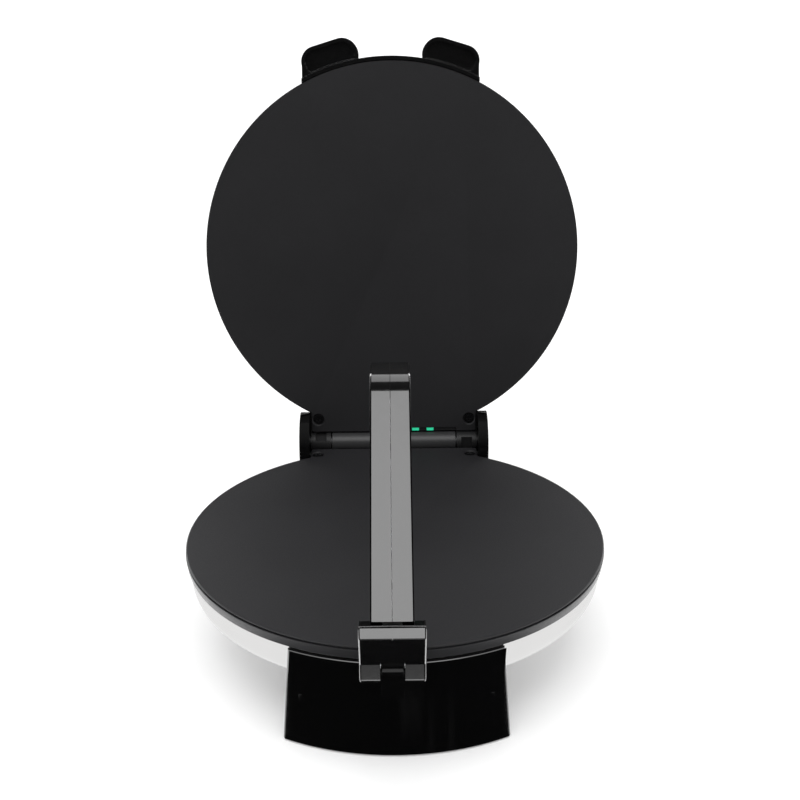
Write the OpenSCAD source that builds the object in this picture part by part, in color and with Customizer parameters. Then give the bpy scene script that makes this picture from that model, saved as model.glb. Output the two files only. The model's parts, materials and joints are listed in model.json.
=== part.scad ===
// Electric flatbread maker with two flat round plates, a rear hinge and a front press lever.
// Base parts are drawn in the plate frame: origin at the centre of the lower cooking surface.
// Lid parts are drawn closed, upside down over the base, and then swung open about the hinge.

/* [Plates] */
// Diameter of both cooking plates
plate_d = 254; // [246:1:262]
// Height of the lower cooking surface above the table
plate_z = 67; // [65:1:75]
// Thickness of the plate castings
plate_t = 5; // [4:0.5:6]
// Depth of the rim around each plate
rim_h = 8; // [8:0.5:10]
// Gap between the cooking surfaces with the lid closed
plate_gap = 0.6; // [0.4:0.1:1.5]

/* [Housings] */
// Depth of the steel pan below the rim, the same for the dome of the lid
pan_h = 22.5; // [22:0.5:26]
// Radius of the rounded corner of the pan and the dome
pan_round = 14; // [10:1:18]

/* [Hinge] */
// Distance of the hinge axis behind the edge of the plates
hinge_back = 7.5; // [7.5:0.1:8.5]
// Height of the hinge axis above the lower cooking surface
hinge_up = 2; // [1.5:0.1:2.5]
// Radius of the hinge shaft
shaft_r = 4; // [3:0.1:4.5]
// How far the lid stands open
lid_open = 99; // [90:1:100]

/* [Stand] */
// Half width of the front leg at its top
leg_top_w = 58.2; // [52:0.2:60]
// Half width of the front leg at its foot
leg_foot_w = 62.6; // [60:0.2:66]
// How far the front leg flares out at its foot
leg_flare = 3; // [1:0.5:6]

/* [Lever] */
// Distance of the lever pivot in front of the edge of the plates
pivot_front = 14; // [13.8:0.2:16]
// Angle of the standing lever above the horizontal
lever_lean = 74; // [73:0.5:76]
// Distance from the pivot to the bend at the tip of the lever
lever_len = 143; // [120:1:146]
// Width of the lever arm at its root
arm_root_w = 22.3; // [20:0.1:24]
// Width of the lever arm at its tip
arm_tip_w = 19.7; // [18:0.1:22]

/* [Hidden] */
$fn = 96;

// The origin is on the table, under the middle of the open maker.
plate_y = -24;
plate_r = plate_d / 2;
gap = 0.3;
wall = 2.6;
table = -plate_z;
foot_h = 1;
floor_z = table + foot_h;

// Steel pan
pan_r = plate_r - 2.5;
pan_t = 0.8;
pan_top = -rim_h - gap;
pan_bottom = pan_top - pan_h;

// Stand
spine_w = 50;
spine_end = 104;
spine_top = pan_bottom - 2;
cover_t = 2;
foot_x = 44;
foot_front = -plate_r + 15;
foot_rear = plate_r + 14;
foot_r = 6;
leg_inner = spine_end - 20;
spine_screw = [40, 82];
end_screw = [30, 98];

// Hinge, measured in the plate frame
hinge_y = plate_r + hinge_back;
hinge_z = hinge_up;
knuckle_r = 6.9;
knuckle_in = 44.2;
knuckle_out = 58.3;
pocket_w = 7.4;
pocket_l = 9.4;
sleeve_gap = 0.7;
cheek_in = 58.7;
cheek_out = 65.6;
cheek_r = 21.2;
housing_back = hinge_y + 17.5;
hood_r = 18;
// Angle of the edge of the hood that meets the stop on the housing, lid closed
hood_edge = 62;
stop_angle = hood_edge - lid_open - 1;
tab_w = 58;
tab_screw = [53, plate_r - 9];
tab_head_r = 3.25;
tab_shank_r = 1.6;
bracket_top = 12.5;
cheek_screw_z = [-54, -32];
inlet_x = -30;
inlet_z = -42;
inlet_r = 7;
inlet_bore = 3.6;

// Inner parts
element_r = 82;
element_tube = 3.2;
element_half_gap = 10;
boss_r = 60;
boss_angles = [45:90:315];
reflector_z = -plate_t - 13;
reflector_end = plate_r - 28.5;
block_y = 62;
block_z = spine_top - 19;
dome_z = plate_gap - pan_bottom;
cover_top = dome_z + 0.8;
dome_screw = [44, plate_r - 33];

// Lid handle
band_r = plate_r + 3;
band_top = 22.5;
handle_w = 59.3;
ear_z = [8, 21];
ear_inner = [-32.4, -plate_r - 3.9];
ear_inner_r = 11;
ear_outer = [-49.4, -plate_r + 0.4];
ear_outer_r = 10.2;
handle_screw_angles = [270 - 15, 270 + 15];
handle_screw_z = 14.2;

// Lamps in the rear edge of the upper plate
lamp_x = [15.4, 25.7];
lamp_w = 4.9;
lamp_d = 1.9;
lamp_slot = [8, 44];

// Lever, measured from its pivot: s runs along the arm and n towards its front face
lever_x = -2;
pivot = [-plate_r - pivot_front, -0.5];
pin_r = 2.5;
lug_r = 8.5;
hub_w = 34.2;
slot_w = 12.8;
lug_knuckle_r = 6;
slot_top = lug_knuckle_r + 0.6;
arm_front = 20.5;
arm_back = 10.2;
socket_s = 18;
hub_top_s = 25.5;
lip_len = 13.5;
lip_t = 7;
bend_r = 9;
hub_back_angle = 34;
seam = 0.05;
core_w = 10;
core_t = 2.5;
arm_screw_s = [45, 115];

black = "#1b1b1d";
charcoal = "#34353a";
steel = "#d8dade";
zinc = "#9a9da2";
white_plastic = "#e8e6df";
lamp_green = "#3fd09a";

// ---------- placing ----------

// From the plate frame to the part's own frame
module in_plate_frame() {
  translate([0, plate_y, plate_z]) children();
}

// The lever and its lug stand a little to the left of the middle
module at_lever() {
  in_plate_frame() translate([lever_x, 0, 0]) children();
}

// A lid part, drawn closed in the plate frame, swung open about the hinge
module opened() {
  in_plate_frame()
    translate([0, hinge_y, hinge_z])
      rotate([-lid_open, 0, 0])
        translate([0, -hinge_y, -hinge_z])
          children();
}

// Turns a part of the lower half upside down to lie over it, with the gap between the plates
module over() {
  translate([0, 0, plate_gap])
    mirror([0, 0, 1])
      children();
}

// Extrudes a side view, drawn as (y, z), from x = from to x = to
module across(from, to) {
  translate([from, 0, 0])
    rotate([90, 0, 90])
      linear_extrude(to - from)
        children();
}

module both_sides() {
  children();
  mirror([1, 0, 0]) children();
}

module at_angles(angles, radius) {
  for (angle = angles)
    rotate([0, 0, angle])
      translate([radius, 0, 0])
        children();
}

// ---------- shared shapes ----------

// Half section of a disc whose lower edge is rounded
module bowl_section(radius, height, round) {
  polygon(concat(
    [[0, 0]],
    arc([radius - round, round], round, -90, 0),
    [[radius, height], [0, height]]
  ));
}

// Points along an arc, at most 5 degrees apart
function arc(centre, radius, from, to) =
  let (steps = ceil(abs(to - from) / 5))
  [for (i = [0:steps]) let (a = from + (to - from) * i / steps) centre + radius * [cos(a), sin(a)]];

// Two circles and the two straight lines that touch both
module tapered_capsule(p, p_r, q, q_r) {
  along = q - p;
  heading = atan2(along[1], along[0]);
  spread = acos((p_r - q_r) / norm(along));
  ends = [[p, p_r, spread], [q, q_r, spread], [q, q_r, -spread], [p, p_r, -spread]];
  translate(p) circle(p_r);
  translate(q) circle(q_r);
  polygon([for (e = ends) e[0] + e[1] * [cos(heading + e[2]), sin(heading + e[2])]]);
}

// A round rod from p to q
module rod(p, q, radius) {
  d = q - p;
  translate(p)
    rotate([0, acos(d[2] / norm(d)), atan2(d[1], d[0])])
      cylinder(r = radius, h = norm(d));
}

// An insulated wire through a list of points
module wire(points, radius = 1.2) {
  $fn = 24;
  for (i = [0:len(points) - 2]) rod(points[i], points[i + 1], radius);
  for (i = [1:len(points) - 2]) translate(points[i]) sphere(radius * 1.1);
}

// A pan-head screw that points down, its head standing on z = 0
module screw(shank_r, length, head_r, head_h) {
  difference() {
    cylinder(r = head_r, h = head_h);
    translate([0, 0, head_h - 0.9]) screw_cross(head_r * 1.1);
  }
  translate([0, 0, -length]) cylinder(r = shank_r, h = length);
}

module screw_cross(size) {
  linear_extrude(2) {
    square([size, size * 0.22], center = true);
    square([size * 0.22, size], center = true);
  }
}

// ---------- plates and housings, shared by base and lid ----------

module plate_casting(bored_bosses) {
  boss_h = -pan_bottom - pan_t - gap - plate_t;
  difference() {
    union() {
      translate([0, 0, -plate_t]) cylinder(r = plate_r, h = plate_t);
      difference() {
        translate([0, 0, -rim_h]) cylinder(r1 = plate_r - 1.2, r2 = plate_r, h = rim_h);
        translate([0, 0, -rim_h - 1]) cylinder(r = plate_r - 5, h = rim_h + 2);
        translate([-tab_w - 0.4, plate_r - 27, -rim_h - 1]) cube([2 * tab_w + 0.8, 40, rim_h + 2]);
      }
      translate([-tab_w, plate_r - 27, -plate_t]) cube([2 * tab_w, 27, plate_t]);
      at_angles(boss_angles, boss_r)
        translate([0, 0, -plate_t - boss_h]) cylinder(r = 5, h = boss_h + 1);
    }
    both_sides() translate([tab_screw[0], tab_screw[1], 0]) tab_screw_hole();
    if (bored_bosses)
      at_angles(boss_angles, boss_r)
        translate([0, 0, -plate_t - boss_h - 1]) cylinder(r = 2.05, h = boss_h - 2);
  }
}

module tab_screw_hole() {
  translate([0, 0, -plate_t - 1]) cylinder(r = tab_shank_r + 0.15, h = plate_t + 2);
  translate([0, 0, -2.6]) cylinder(r = tab_head_r + 0.35, h = 4);
}

module tab_screws() {
  both_sides() translate([tab_screw[0], tab_screw[1], -2.6]) screw(tab_shank_r, 10, tab_head_r, 2);
}

module pan() {
  translate([0, 0, pan_bottom])
    difference() {
      rotate_extrude() bowl_section(pan_r, pan_h, pan_round);
      translate([0, 0, pan_t])
        rotate_extrude() bowl_section(pan_r - pan_t, pan_h, pan_round - pan_t);
    }
}

module heating_element(leg_len) {
  z = -plate_t - 0.3 - element_tube;
  translate([0, 0, z])
    rotate([0, 0, 90 + element_half_gap])
      rotate_extrude(angle = 360 - 2 * element_half_gap)
        translate([element_r, 0]) circle(element_tube);
  at_angles([90 - element_half_gap, 90 + element_half_gap], element_r) {
    translate([0, 0, z - leg_len]) cylinder(r = element_tube - 0.4, h = leg_len + 1);
    translate([0, 0, z - leg_len - 5]) cylinder(r = 1.5, h = 6);
  }
}

module element_clamps() {
  z = -plate_t - 0.6 - 2 * element_tube;
  at_angles([10, 130, 270], element_r) {
    translate([-12, -7, z - 1.5]) cube([24, 14, 1.5]);
    for (side = [-1, 1])
      translate([side * 8, 0, z - 1.5]) cylinder(r = 2.5, h = -plate_t - 0.1 - z + 1.5);
  }
}

module reflector() {
  difference() {
    union() {
      translate([0, 0, reflector_z]) cylinder(r = 108, h = 0.8);
      translate([0, 0, reflector_z])
        difference() {
          cylinder(r1 = 108, r2 = 114, h = 9);
          translate([0, 0, -0.01]) cylinder(r1 = 107.2, r2 = 113.2, h = 9.02);
        }
    }
    translate([0, 0, reflector_z - 1]) cylinder(r = 14, h = 3);
    at_angles(boss_angles, boss_r) translate([0, 0, reflector_z - 1]) cylinder(r = 5.5, h = 3);
    at_angles([90 - element_half_gap, 90 + element_half_gap], element_r)
      translate([0, 0, reflector_z - 1]) cylinder(r = 4.5, h = 3);
  }
}

// A disc thermostat held against the middle of a plate, with two blade terminals
module disc_thermostat() {
  translate([0, 0, -plate_t - 9.5]) cylinder(r = 9, h = 9.2);
  translate([0, 0, -plate_t - 3]) cylinder(r = 11.5, h = 1);
  for (side = [-1, 1])
    translate([side * 5 - 0.4, -3, -plate_t - 16]) cube([0.8, 6, 8]);
}

// ---------- base ----------

module stand_spine() {
  color(black)
    in_plate_frame()
      difference() {
        union() {
          difference() {
            translate([-spine_w, -spine_end + gap, floor_z + 1])
              cube([2 * spine_w, 2 * (spine_end - gap), spine_top - floor_z - 1]);
            translate([-spine_w + wall, -spine_end - 1, floor_z])
              cube([2 * (spine_w - wall), 2 * spine_end + 2, spine_top - floor_z - 3]);
          }
          both_sides()
            for (y = [-spine_screw[1], spine_screw[1]])
              translate([spine_screw[0], y, floor_z + cover_t + 1.4])
                cylinder(r = 4.5, h = spine_top - floor_z - cover_t - 2);
          for (angle = boss_angles)
            rotate([0, 0, angle])
              translate([boss_r, 0, spine_top - 1]) cylinder(r = 7, h = 2.8);
        }
        at_angles(boss_angles, boss_r)
          translate([0, 0, spine_top - 5]) cylinder(r = 2.2, h = 9);
        at_angles([90 - element_half_gap, 90 + element_half_gap], element_r)
          translate([0, 0, spine_top - 5]) cylinder(r = 5, h = 9);
        translate([0, 0, spine_top - 5]) cylinder(r = 10, h = 9);
        both_sides()
          for (y = [-spine_screw[1], spine_screw[1]])
            translate([spine_screw[0], y, floor_z]) cylinder(r = 1.6, h = 14);
        both_sides()
          for (y = [-end_screw[1], end_screw[1]])
            translate([end_screw[0], y, spine_top - 5]) cylinder(r = 1.6, h = 9);
      }
}

// Section of the front leg as (distance from the plate centre, height)
module leg_section() {
  round_c = [pan_r - pan_round, pan_bottom + pan_round];
  difference() {
    polygon([
      [leg_inner, floor_z], [plate_r + leg_flare, floor_z],
      [plate_r, pan_top], [pan_r + 0.5, pan_top], [pan_r - pan_round, spine_top], [leg_inner, spine_top],
    ]);
    translate(round_c) circle(pan_round + 0.5);
    translate([0, pan_bottom - 0.5]) square([round_c[0], pan_h]);
    translate([0, round_c[1]]) square([pan_r + 0.5, pan_h]);
    leg_hollow();
  }
}

module leg_hollow() {
  translate([leg_inner - 1, floor_z + wall])
    square([plate_r - leg_inner + 1 - wall, spine_top - wall - floor_z - wall]);
}

// Shelf that the end of the spine rests on and is screwed to
module joining_tongue(half_width) {
  translate([-44, spine_end - 10, spine_top - 6.3]) cube([88, 18, 3]);
  translate([-half_width, spine_end, spine_top - 6.3]) cube([2 * half_width, 14, 4]);
}

// The front view of the leg, wider at its foot
module leg_front() {
  polygon([
    [-leg_foot_w, floor_z], [leg_foot_w, floor_z],
    [leg_top_w, pan_top], [-leg_top_w, pan_top],
  ]);
}

module leg_shell() {
  intersection() {
    rotate_extrude() leg_section();
    translate([0, -spine_end, 0]) rotate([90, 0, 0]) linear_extrude(60) leg_front();
  }
}

module leg_side_walls() {
  both_sides()
    intersection() {
      translate([0, 0, floor_z + 1]) cylinder(r = plate_r - 1, h = spine_top - floor_z - 2);
      translate([spine_w + 2, -plate_r - 1, floor_z]) cube([wall, plate_r + 1 - spine_end, plate_z]);
    }
}

// Lug that carries the lever, standing out from the top of the leg
module lever_lug() {
  half = slot_w / 2 - 0.35;
  across(-half, half)
    difference() {
      union() {
        translate(pivot) circle(lug_knuckle_r);
        polygon([
          pivot + [-5.5, -2.4], pivot + [5, 2.6], [-plate_r - 3.2, -3], [-plate_r - 1, -rim_h - 1],
          [-plate_r + 1, -rim_h - 1], [-plate_r + 0.6, -rim_h - 22], [-plate_r - 2, -rim_h - 22],
          [-plate_r - 7, -rim_h - 6],
        ]);
      }
      translate(pivot) circle(pin_r + 0.05);
    }
}

module front_leg() {
  color(black)
    in_plate_frame() {
      difference() {
        union() {
          leg_shell();
          leg_side_walls();
          difference() {
            translate([lever_x, 0, 0]) lever_lug();
            translate([0, 0, -rim_h - 40]) cylinder(r = plate_r - 1.2, h = 60);
          }
          mirror([0, 1, 0]) joining_tongue(spine_w + 3);
          both_sides() translate([foot_x, foot_front, floor_z + 1]) cylinder(r = foot_r + 1.5, h = 12);
        }
        both_sides() translate([foot_x, foot_front, floor_z - 1]) cylinder(r = foot_r + 0.1, h = 4);
        both_sides() translate([end_screw[0], -end_screw[1], spine_top - 8]) cylinder(r = 1.7, h = 6);
      }
    }
}

// Side view of the solid below the hinge: its slanted top is the stop for the open lid
module housing_section() {
  stop_z = hinge_z + (housing_back - hinge_y) * tan(stop_angle);
  difference() {
    polygon([
      [spine_end, floor_z], [housing_back, floor_z], [housing_back, stop_z], [hinge_y, hinge_z],
      [plate_r + 1, -rim_h - 0.4], [spine_end, -rim_h - 0.4],
    ]);
    translate([hinge_y, hinge_z]) circle(knuckle_r + 0.5);
    polygon([
      [spine_end - 1, floor_z + wall], [housing_back - wall, floor_z + wall],
      [housing_back - wall, stop_z - wall - 1], [plate_r + 2, -rim_h - 6], [spine_end - 1, -rim_h - 6],
    ]);
  }
}

// Side view of a cheek: an upright with a round top about the hinge axis
module cheek_section() {
  back_angle = acos((housing_back - hinge_y) / cheek_r);
  polygon(concat(
    [[hinge_y - cheek_r, floor_z], [housing_back, floor_z]],
    arc([hinge_y, hinge_z], cheek_r, back_angle, 180)
  ));
}

// A cheek that closes one side of the housing and holds one end of the hinge shaft
module cheek() {
  difference() {
    across(cheek_in, cheek_out) cheek_section();
    translate([cheek_in - 1, hinge_y, hinge_z])
      rotate([0, 90, 0]) cylinder(r = shaft_r + 0.05, h = cheek_out - cheek_in - 1);
    cheek_screw_holes(1.55);
  }
}

module cheek_screw_holes(radius) {
  for (z = cheek_screw_z)
    translate([cheek_in - wall - 1, hinge_y, z]) rotate([0, 90, 0]) cylinder(r = radius, h = wall + 7);
}

module hinge_cheek_left() {
  color(black) in_plate_frame() mirror([1, 0, 0]) cheek();
}

module hinge_cheek_right() {
  color(black) in_plate_frame() cheek();
}

// Screws that pull the cheeks against the housing from inside
module cheek_screws() {
  color(zinc)
    in_plate_frame()
      both_sides()
        for (z = cheek_screw_z)
          translate([cheek_in - wall, hinge_y, z]) rotate([0, -90, 0]) screw(1.5, wall + 5.5, 3, 2);
}

module hinge_housing() {
  color(black)
    in_plate_frame()
      difference() {
        union() {
          across(-cheek_in, cheek_in) housing_section();
          both_sides() across(cheek_in - wall, cheek_in) side_wall_section();
          both_sides() tab_boss();
          both_sides() translate([foot_x, foot_rear, floor_z + 1]) cylinder(r = foot_r + 1.5, h = 12);
          joining_tongue(cheek_in - 1);
        }
        translate([0, 0, pan_bottom - 0.5]) cylinder(r = pan_r + 0.5, h = 60);
        both_sides() cheek_screw_holes(1.65);
        both_sides()
          translate([tab_screw[0], tab_screw[1], -rim_h - 13])
            cylinder(r = tab_shank_r + 0.1, h = 20);
        both_sides() translate([foot_x, foot_rear, floor_z - 1]) cylinder(r = foot_r + 0.1, h = 4);
        both_sides() translate([end_screw[0], end_screw[1], spine_top - 8]) cylinder(r = 1.7, h = 6);
        translate([inlet_x, housing_back + 1, inlet_z])
          rotate([90, 0, 0]) cylinder(r = inlet_r + 0.1, h = wall + 2);
      }
}

// Block under each rear tab of the plate, drilled for its screw
module tab_boss() {
  low = -rim_h - 12;
  translate([tab_screw[0] - 4.3, tab_screw[1] - 4, low]) cube([8.6, 8.5, -plate_t - gap - low]);
}

module side_wall_section() {
  translate([spine_end, floor_z + 1])
    square([housing_back - spine_end - 1, -rim_h - 0.4 - floor_z - 16]);
}

// Bush in the rear wall through which a mains lead would enter
module cord_inlet() {
  color(black)
    in_plate_frame()
      translate([inlet_x, housing_back, inlet_z])
        rotate([90, 0, 0])
          difference() {
            union() {
              translate([0, 0, -3]) cylinder(r1 = inlet_r + 0.6, r2 = inlet_r + 2, h = 3 - 0.1);
              translate([0, 0, -1]) cylinder(r = inlet_r, h = 8);
            }
            translate([0, 0, -4]) cylinder(r = inlet_bore, h = 12);
          }
}

module bottom_cover() {
  color(black)
    in_plate_frame()
      difference() {
        translate([-spine_w + wall + gap, -spine_end + 1, floor_z + 1])
          cube([2 * (spine_w - wall - gap), 2 * spine_end - 2, cover_t]);
        both_sides()
          for (y = [-spine_screw[1], spine_screw[1]])
            translate([spine_screw[0], y, floor_z]) cylinder(r = 1.8, h = 5);
        for (x = [-24:8:24])
          translate([x - 1.5, -20, floor_z]) cube([3, 40, 5]);
      }
}

module rubber_feet() {
  color("#222222")
    in_plate_frame()
      both_sides()
        for (y = [foot_front, foot_rear])
          translate([foot_x, y, table]) {
            cylinder(r1 = foot_r - 0.6, r2 = foot_r, h = 1);
            translate([0, 0, 1]) cylinder(r = foot_r, h = 2.8);
          }
}

module bottom_screws() {
  color(zinc)
    in_plate_frame()
      both_sides()
        for (y = [-spine_screw[1], spine_screw[1]])
          translate([spine_screw[0], y, floor_z + 1]) mirror([0, 0, 1]) screw(1.5, 12, 3, 1);
}

// Screws that hold the front leg and the hinge housing to the spine
module frame_screws() {
  color(zinc)
    in_plate_frame()
      both_sides()
        for (y = [-end_screw[1], end_screw[1]])
          translate([end_screw[0], y, spine_top - 6.3]) mirror([0, 0, 1]) screw(1.5, 6, 3, 2);
}

// Screws that clamp plate, pan and spine together
module body_screws() {
  color(zinc)
    in_plate_frame()
      at_angles(boss_angles, boss_r)
        translate([0, 0, spine_top - 3]) mirror([0, 0, 1]) screw(2, 18, 3.8, 2.4);
}

module lower_housing() {
  color(steel)
    in_plate_frame()
      difference() {
        pan();
        at_angles(boss_angles, boss_r)
          translate([0, 0, pan_bottom - 1]) cylinder(r = 2.2, h = 4);
        at_angles([90 - element_half_gap, 90 + element_half_gap], element_r)
          translate([0, 0, pan_bottom - 1]) cylinder(r = 5, h = 4);
        translate([0, 0, pan_bottom - 1]) cylinder(r = 8, h = 4);
      }
}

module lower_plate() {
  color(charcoal) in_plate_frame() plate_casting(true);
}

module lower_plate_screws() {
  color(zinc) in_plate_frame() tab_screws();
}

module lower_element() {
  color(zinc) in_plate_frame() heating_element(32);
}

module lower_element_clamps() {
  color(steel) in_plate_frame() element_clamps();
}

module lower_reflector() {
  color(steel) in_plate_frame() reflector();
}

module thermostat() {
  color(white_plastic) in_plate_frame() disc_thermostat();
}

module thermal_fuse() {
  color(white_plastic)
    in_plate_frame()
      translate([22, -8, -plate_t - 3.4]) {
        rotate([0, 90, 0]) cylinder(r = 2.8, h = 18);
        translate([-4, 0, 0]) rotate([0, 90, 0]) cylinder(r = 0.8, h = 26);
      }
}

module terminal_block() {
  color(white_plastic)
    in_plate_frame()
      difference() {
        translate([-18, block_y - 8, block_z]) cube([36, 16, 11]);
        for (x = [-12, 0, 12])
          translate([x, block_y, block_z + 5]) cylinder(r = 2.5, h = 7);
      }
}

module lower_wiring() {
  leg_x = element_r * sin(element_half_gap);
  leg_y = element_r * cos(element_half_gap);
  leg_end = -plate_t - 0.3 - element_tube - 32 - 5;
  color("#c9b8a0")
    in_plate_frame() {
      both_sides()
        wire([[12, block_y + 8.2, block_z + 5], [leg_x, leg_y, block_z + 5], [leg_x, leg_y, leg_end - 0.1]]);
      wire([[5, 0, -plate_t - 16.2], [5, 0, block_z + 4], [0, block_y - 8.2, block_z + 4]]);
      wire([[-5, 0, -plate_t - 16.2], [-5, 0, block_z + 4], [-12, block_y - 8.2, block_z + 4]]);
    }
}

module hinge_shaft() {
  color(zinc)
    in_plate_frame()
      translate([-cheek_out + 2.5, hinge_y, hinge_z])
        rotate([0, 90, 0]) cylinder(r = shaft_r, h = 2 * cheek_out - 5);
}

module hinge_sleeve() {
  color(charcoal)
    in_plate_frame()
      translate([-knuckle_in + sleeve_gap, hinge_y, hinge_z])
        rotate([0, 90, 0])
          difference() {
            cylinder(r = knuckle_r - 0.1, h = 2 * (knuckle_in - sleeve_gap));
            translate([0, 0, -1]) cylinder(r = shaft_r + 0.05, h = 2 * knuckle_in + 2);
          }
}

module lever_pin() {
  color(zinc)
    at_lever()
      translate([-hub_w / 2 + 1.5, pivot[0], pivot[1]])
        rotate([0, 90, 0]) cylinder(r = pin_r, h = hub_w - 3);
}

// ---------- lid ----------

module upper_plate() {
  color(charcoal)
    opened()
      difference() {
        union() {
          over() plate_casting(false);
          dome_posts();
        }
        translate([lamp_slot[0], plate_r - 2.8, -1])
          cube([lamp_slot[1] - lamp_slot[0], 4, plate_t + 3]);
      }
}

module upper_plate_screws() {
  color(zinc) opened() over() tab_screws();
}

module lid_shell() {
  color(steel)
    opened()
      difference() {
        over() pan();
        translate([-tab_w - 0.8, plate_r - 23, 0]) cube([2 * tab_w + 1.6, 40, 60]);
        for (angle = handle_screw_angles)
          rotate([0, 0, angle])
            translate([pan_r + 2, 0, handle_screw_z]) rotate([0, -90, 0]) cylinder(r = 1.7, h = 10);
        both_sides()
          translate([dome_screw[0], dome_screw[1], 20]) cylinder(r = 1.7, h = 30);
      }
}

// Outline of the left lifting ear, as seen from below
module ear_outline(inset) {
  tapered_capsule(ear_inner, ear_inner_r - inset, ear_outer, ear_outer_r - inset);
}

module ears() {
  both_sides()
    difference() {
      translate([0, 0, ear_z[0]])
        linear_extrude(ear_z[1] - ear_z[0]) {
          ear_outline(0);
          translate([-handle_w, -plate_r - 2]) square([handle_w + ear_inner[0] + ear_inner_r, 14]);
        }
      translate([0, 0, ear_z[0] - 1])
        linear_extrude(5.5)
          difference() {
            ear_outline(2.4);
            circle(band_r + 1);
          }
    }
}

module band() {
  intersection() {
    translate([0, 0, plate_gap]) cylinder(r = band_r, h = band_top - plate_gap);
    translate([-handle_w, -band_r - 1, 0]) cube([2 * handle_w, 60, 60]);
  }
}

module lid_handle() {
  color(black)
    opened()
      difference() {
        union() {
          band();
          ears();
        }
        translate([0, 0, -1]) cylinder(r = plate_r + 0.4, h = rim_h + plate_gap + 1.3);
        cylinder(r = pan_r + 0.5, h = 60);
        for (angle = handle_screw_angles)
          rotate([0, 0, angle])
            translate([pan_r, 0, handle_screw_z]) rotate([0, 90, 0]) cylinder(r = 1.55, h = 12);
      }
}

module handle_screws() {
  color(zinc)
    opened()
      for (angle = handle_screw_angles)
        rotate([0, 0, angle])
          translate([pan_r - pan_t - 0.1, 0, handle_screw_z]) rotate([0, -90, 0]) screw(1.5, 11, 3, 2);
}

// Side view of a hinge bracket: a knuckle on the shaft and an arm over the tab of the plate
module bracket_section() {
  arm_z = plate_t + plate_gap + gap;
  difference() {
    polygon(concat(
      arc([hinge_y, hinge_z], knuckle_r, 180, 405),
      [
        [hinge_y - 3, bracket_top], [plate_r - 15, bracket_top],
        [plate_r - 15, arm_z], [hinge_y - knuckle_r, arm_z],
      ]
    ));
    translate([hinge_y, hinge_z]) circle(shaft_r + 0.06);
  }
}

// One of the two brackets; the pocket in its knuckle is set at an angle around the shaft
module hinge_bracket(pocket_angle) {
  difference() {
    across(knuckle_in, knuckle_out) bracket_section();
    translate([tab_screw[0], tab_screw[1], 0]) cylinder(r = tab_shank_r + 0.1, h = 20);
    translate([(knuckle_in + knuckle_out) / 2, hinge_y, hinge_z])
      rotate([pocket_angle, 0, 0])
        translate([-pocket_w / 2, shaft_r + 0.7, -pocket_l / 2]) cube([pocket_w, 4, pocket_l]);
  }
}

module hinge_bracket_left() {
  color(charcoal) opened() mirror([1, 0, 0]) hinge_bracket(lid_open + 111);
}

module hinge_bracket_right() {
  color(charcoal) opened() hinge_bracket(lid_open + 178);
}

// Side view of the cover over the hinge, with a round hood behind it
module cover_outline() {
  polygon(concat(
    [[hinge_y, hinge_z]],
    arc([hinge_y, hinge_z], hood_r, hood_edge, 108),
    [
      [plate_r - 12, cover_top - 1.2], [plate_r - 22.6, cover_top], [plate_r - 22.6, rim_h + 1],
      [plate_r + 0.6, rim_h + 1],
    ]
  ));
}

module cover_hollow() {
  polygon(concat(
    [[hinge_y, hinge_z]],
    arc([hinge_y, hinge_z], hood_r - wall, hood_edge + 12, 112),
    [
      [plate_r - 12.6, cover_top - wall - 1.2], [plate_r - 20, cover_top - wall], [plate_r - 20, rim_h - 1],
      [plate_r, rim_h - 1],
    ]
  ));
}

module hinge_cover() {
  color(black)
    opened()
      difference() {
        across(-tab_w, tab_w) cover_outline();
        across(-tab_w + wall, tab_w - wall) cover_hollow();
        across(-tab_w - 1, tab_w + 1) translate([hinge_y, hinge_z]) circle(knuckle_r + 0.7);
        both_sides() across(knuckle_in - gap, tab_w + 1) {
          polygon([
            [plate_r - 16, 0], [plate_r - 16, 13], [hinge_y - 2.5, 13],
            [hinge_y + 4.5, hinge_z + 6], [hinge_y, hinge_z],
          ]);
        }
      }
}

// Screws that pull the dome down on the posts of the upper plate
module dome_screws() {
  color(zinc)
    opened()
      both_sides()
        translate([dome_screw[0], dome_screw[1], dome_z]) screw(1.5, 14, 3.2, 1.6);
}

module dome_posts() {
  post_h = dome_z - pan_t - gap - plate_gap - plate_t;
  both_sides()
    translate([dome_screw[0], dome_screw[1], plate_gap + plate_t - 1])
      difference() {
        cylinder(r = 4.5, h = post_h + 1);
        translate([0, 0, post_h - 16]) cylinder(r = 1.55, h = 20);
      }
}

module upper_element() {
  color(zinc) opened() over() heating_element(12);
}

module upper_element_clamps() {
  color(steel) opened() over() element_clamps();
}

module upper_reflector() {
  color(steel)
    opened()
      difference() {
        over() reflector();
        both_sides() translate([dome_screw[0], dome_screw[1], 0]) cylinder(r = 5, h = 40);
        translate([-tab_w - 1.5, reflector_end, 0]) cube([2 * tab_w + 3, 40, 40]);
      }
}

module upper_thermostat() {
  color(white_plastic) opened() over() disc_thermostat();
}

module lamp_board() {
  color(black)
    opened()
      difference() {
        union() {
          translate([lamp_slot[0] + gap, plate_r - 2.5, plate_gap + 1])
            cube([lamp_slot[1] - lamp_slot[0] - 2 * gap, 2.2, 6]);
          translate([lamp_slot[0] + gap, plate_r - 9, plate_gap + plate_t + 1])
            cube([lamp_slot[1] - lamp_slot[0] - 2 * gap, 8.7, 1.2]);
        }
        for (x = lamp_x)
          translate([x - lamp_w / 2 - 0.1, plate_r - 2.45, 0]) cube([lamp_w + 0.2, lamp_d + 0.2, 12]);
      }
}

module indicator_lenses() {
  color(lamp_green)
    opened()
      for (x = lamp_x)
        translate([x - lamp_w / 2, plate_r - 2.35, plate_gap + 0.3]) cube([lamp_w, lamp_d, 8]);
}

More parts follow.
